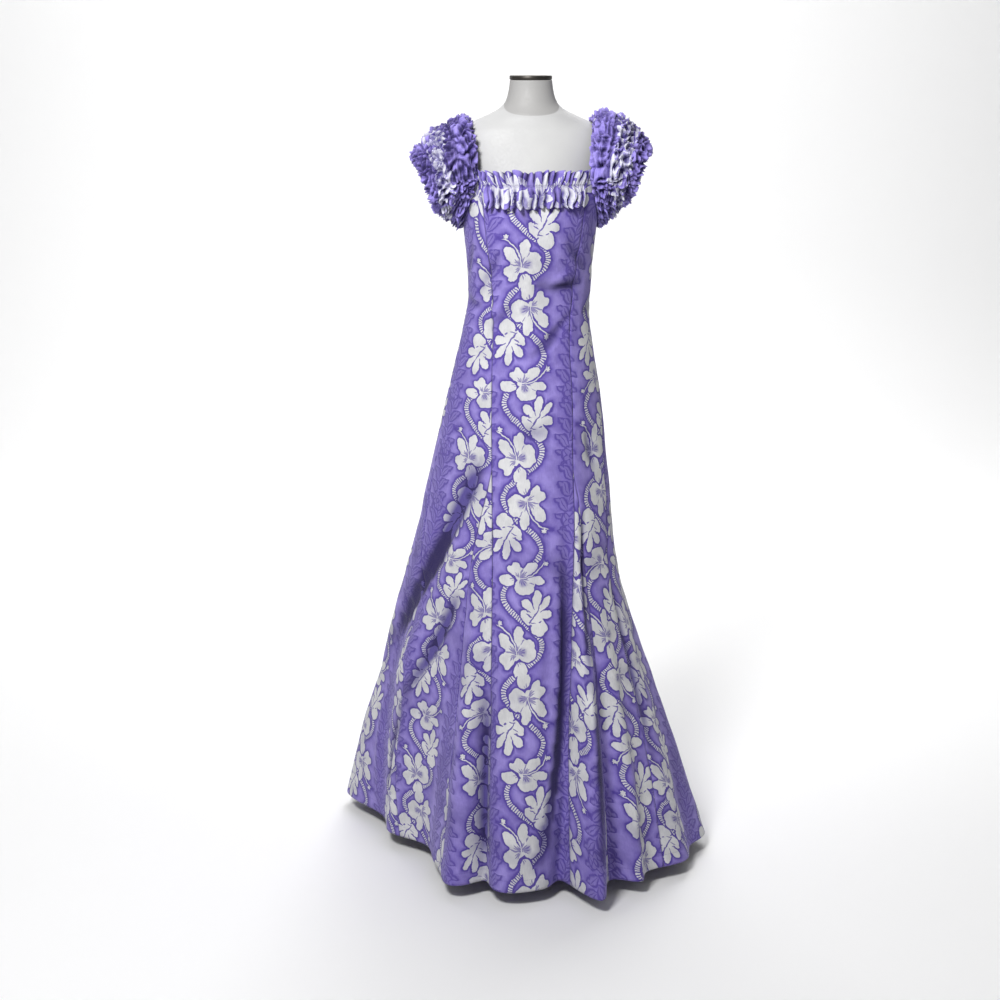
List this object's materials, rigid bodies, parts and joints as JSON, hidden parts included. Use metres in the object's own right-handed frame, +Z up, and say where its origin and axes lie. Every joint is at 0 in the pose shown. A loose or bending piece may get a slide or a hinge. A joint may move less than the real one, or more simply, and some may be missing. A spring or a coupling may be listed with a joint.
{
  "type": "hawaiian dress on a dress form",
  "caption": "Floor-length fitted gown with gores, frilled square neckline and gathered puff sleeves, worn by a limbless dress form on a round stand.",
  "frame": {"origin": "centre of the stand base's flat underside, on the floor", "axes": "+Z up, the gown's front faces -Y, +X is the wearer's left"},
  "size_m": [0.7199, 0.7926, 1.5253],
  "materials": {
    "print_cotton": "plain-weave cotton, lilac ground with white hibiscus stripes",
    "form": "matt off-white",
    "cap_metal": "dark satin",
    "stand_metal": "grey satin"
  },
  "bodies": {
    "root": {"form_torso": "form", "neck_cap": "cap_metal", "stand_pole": "stand_metal", "stand_base": "stand_metal", "front_center": "print_cotton", "front_godet_right": "print_cotton", "front_godet_left": "print_cotton", "side_front_right": "print_cotton", "side_front_left": "print_cotton", "side_back_right": "print_cotton", "side_back_left": "print_cotton", "center_back_right": "print_cotton", "center_back_left": "print_cotton", "neck_frill_front": "print_cotton", "neck_frill_back": "print_cotton", "sleeve_left": "print_cotton", "sleeve_right": "print_cotton"}
  },
  "joints": []
}
